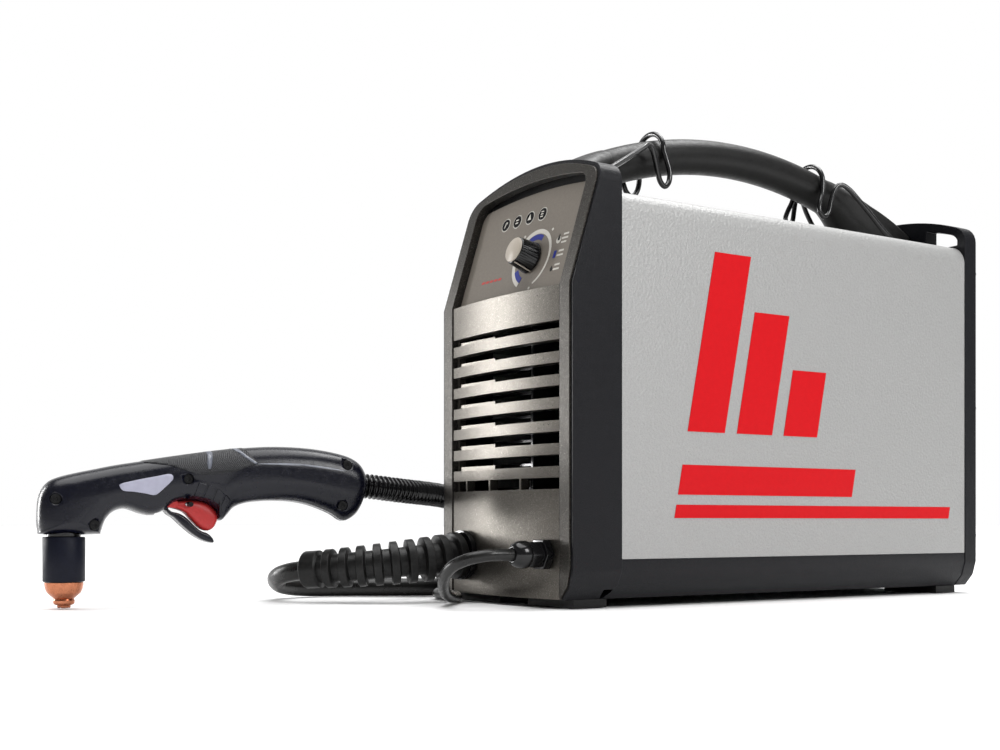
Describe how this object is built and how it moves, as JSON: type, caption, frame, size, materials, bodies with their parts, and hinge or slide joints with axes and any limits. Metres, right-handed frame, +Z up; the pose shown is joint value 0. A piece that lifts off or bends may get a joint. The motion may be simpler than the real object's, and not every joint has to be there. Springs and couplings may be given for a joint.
{
  "type": "plasma cutter",
  "caption": "Portable plasma cutter: metal-cased power source with arched handle, louvred front and current knob, hand torch with trigger, torch lead, work lead and spring clamp.",
  "frame": {"origin": "on the floor at the centre of the four foot holes, in the middle of the power source's footprint", "axes": "+Z up; the power source's control face and louvres look along -Y, its air inlet along +Y; +X is the machine's right side, seen from in front on the observer's right"},
  "size_m": [0.3362, 0.7021, 0.3065],
  "materials": {
    "silver_paint": "silver powder coat with a fine orange-peel texture",
    "textured_plastic": "blue-black spark-eroded texture",
    "sparkle_plastic": "bronze-grey metallic with a fine sparkle",
    "label": "taupe printed film",
    "black_plastic": "satin black moulding",
    "gloss_black": "gloss black moulding",
    "cream_plastic": "warm cream cap",
    "red_plastic": "satin red moulding",
    "red_decal": "printed vinyl",
    "steel": "zinc-plated steel",
    "black_metal": "black coated wire",
    "aluminium": "extruded aluminium",
    "brass": "machined brass",
    "copper": "machined copper",
    "rubber": "black moulded rubber",
    "lead_jacket": "smooth black lead jacket",
    "board": "green circuit board",
    "blue_hose": "blue air hose",
    "blue_sleeve": "dark blue sleeve",
    "winding": "enamelled copper winding on a dark core",
    "torch_plastic": "blue-black fine texture",
    "badge": "pale plain plate"
  },
  "bodies": {
    "power_source": {"front_shoulder": "textured_plastic", "face_frame": "sparkle_plastic", "grille_panel": "sparkle_plastic", "control_label": "label", "control_housing": "black_plastic", "indicator_lenses": "gloss_black", "potentiometer": "board", "control_board": "board", "cover": "silver_paint", "side_graphics": "red_decal", "base_tray": "textured_plastic", "feet": "rubber", "rear_bezel": "textured_plastic", "rear_panel": "black_plastic", "bezel_screws": "steel", "fan_guard": "black_metal", "fan_frame": "black_plastic", "switch_housing": "black_plastic", "power_gland": "black_plastic", "air_inlet": "brass", "air_filter": "aluminium", "solenoid_valve": "aluminium", "air_hose": "blue_hose", "chassis_plate": "steel", "heat_sink": "aluminium", "power_board": "board", "capacitors": "blue_sleeve", "transformer": "winding", "handle": "rubber", "handle_front_mount": "black_plastic", "handle_rear_mount": "black_plastic", "wire_hooks": "black_metal", "torch_bulkhead": "steel", "torch_boot": "rubber", "torch_lead_feed": "lead_jacket", "torch_coil": "lead_jacket", "torch_lead_return": "lead_jacket", "torch_sleeve": "rubber", "work_gland": "gloss_black", "work_lead_run": "lead_jacket", "work_coil": "lead_jacket", "work_lead_tail": "lead_jacket", "clamp_jaw_fixed": "steel", "clamp_pin_spring": "steel", "torch_shell_right": "torch_plastic", "torch_shell_left": "torch_plastic", "grip_inlay": "torch_plastic", "torch_badges": "badge", "torch_pins_screws": "steel", "torch_head": "brass"},
    "knob": {"current_knob": "gloss_black", "knob_cap": "cream_plastic", "pot_shaft": "steel"},
    "fan": {"fan_rotor": "black_plastic"},
    "rocker": {"power_rocker": "red_plastic"},
    "trigger": {"torch_trigger": "red_plastic"},
    "lever": {"safety_lever": "torch_plastic"},
    "torch_cap": {"retaining_cap": "black_plastic", "torch_shield": "copper"},
    "clamp_arm": {"clamp_jaw_moving": "steel"}
  },
  "joints": [
    {"name": "knob_turn", "type": "hinge", "parent": "power_source", "child": "knob", "pos_m": [0.0135, -0.17061, 0.20988], "axis": [0, -0.9553, 0.2957], "range_deg": [-60, 210]},
    {"name": "fan_spin", "type": "hinge", "parent": "power_source", "child": "fan", "pos_m": [-0.015, 0.15, 0.15], "axis": [0, 1, 0], "continuous": true},
    {"name": "rocker_tilt", "type": "hinge", "parent": "power_source", "child": "rocker", "pos_m": [0.04, 0.162, 0.218], "axis": [1, 0, 0], "range_deg": [0, 14]},
    {"name": "trigger_pull", "type": "hinge", "parent": "power_source", "child": "trigger", "pos_m": [-0.09468, -0.34212, 0.0601], "axis": [0.9912, -0.1323, 0], "range_deg": [0, 12], "stiffness_Nm_per_rad": 0.08, "springref_deg": -11.46},
    {"name": "lever_flip", "type": "hinge", "parent": "power_source", "child": "lever", "pos_m": [-0.09659, -0.35649, 0.0615], "axis": [0.9912, -0.1323, 0], "range_deg": [-40, 0], "stiffness_Nm_per_rad": 0.05, "springref_deg": 17.19},
    {"name": "cap_turn", "type": "hinge", "parent": "power_source", "child": "torch_cap", "pos_m": [-0.104, -0.412, 0.03], "axis": [0, 0, 1], "range_deg": [0, 360]},
    {"name": "clamp_open", "type": "hinge", "parent": "power_source", "child": "clamp_arm", "pos_m": [-0.183, 0.244, 0.01], "axis": [0, 0, 1], "range_deg": [-20, 0], "stiffness_Nm_per_rad": 1, "springref_deg": 17.19}
  ]
}
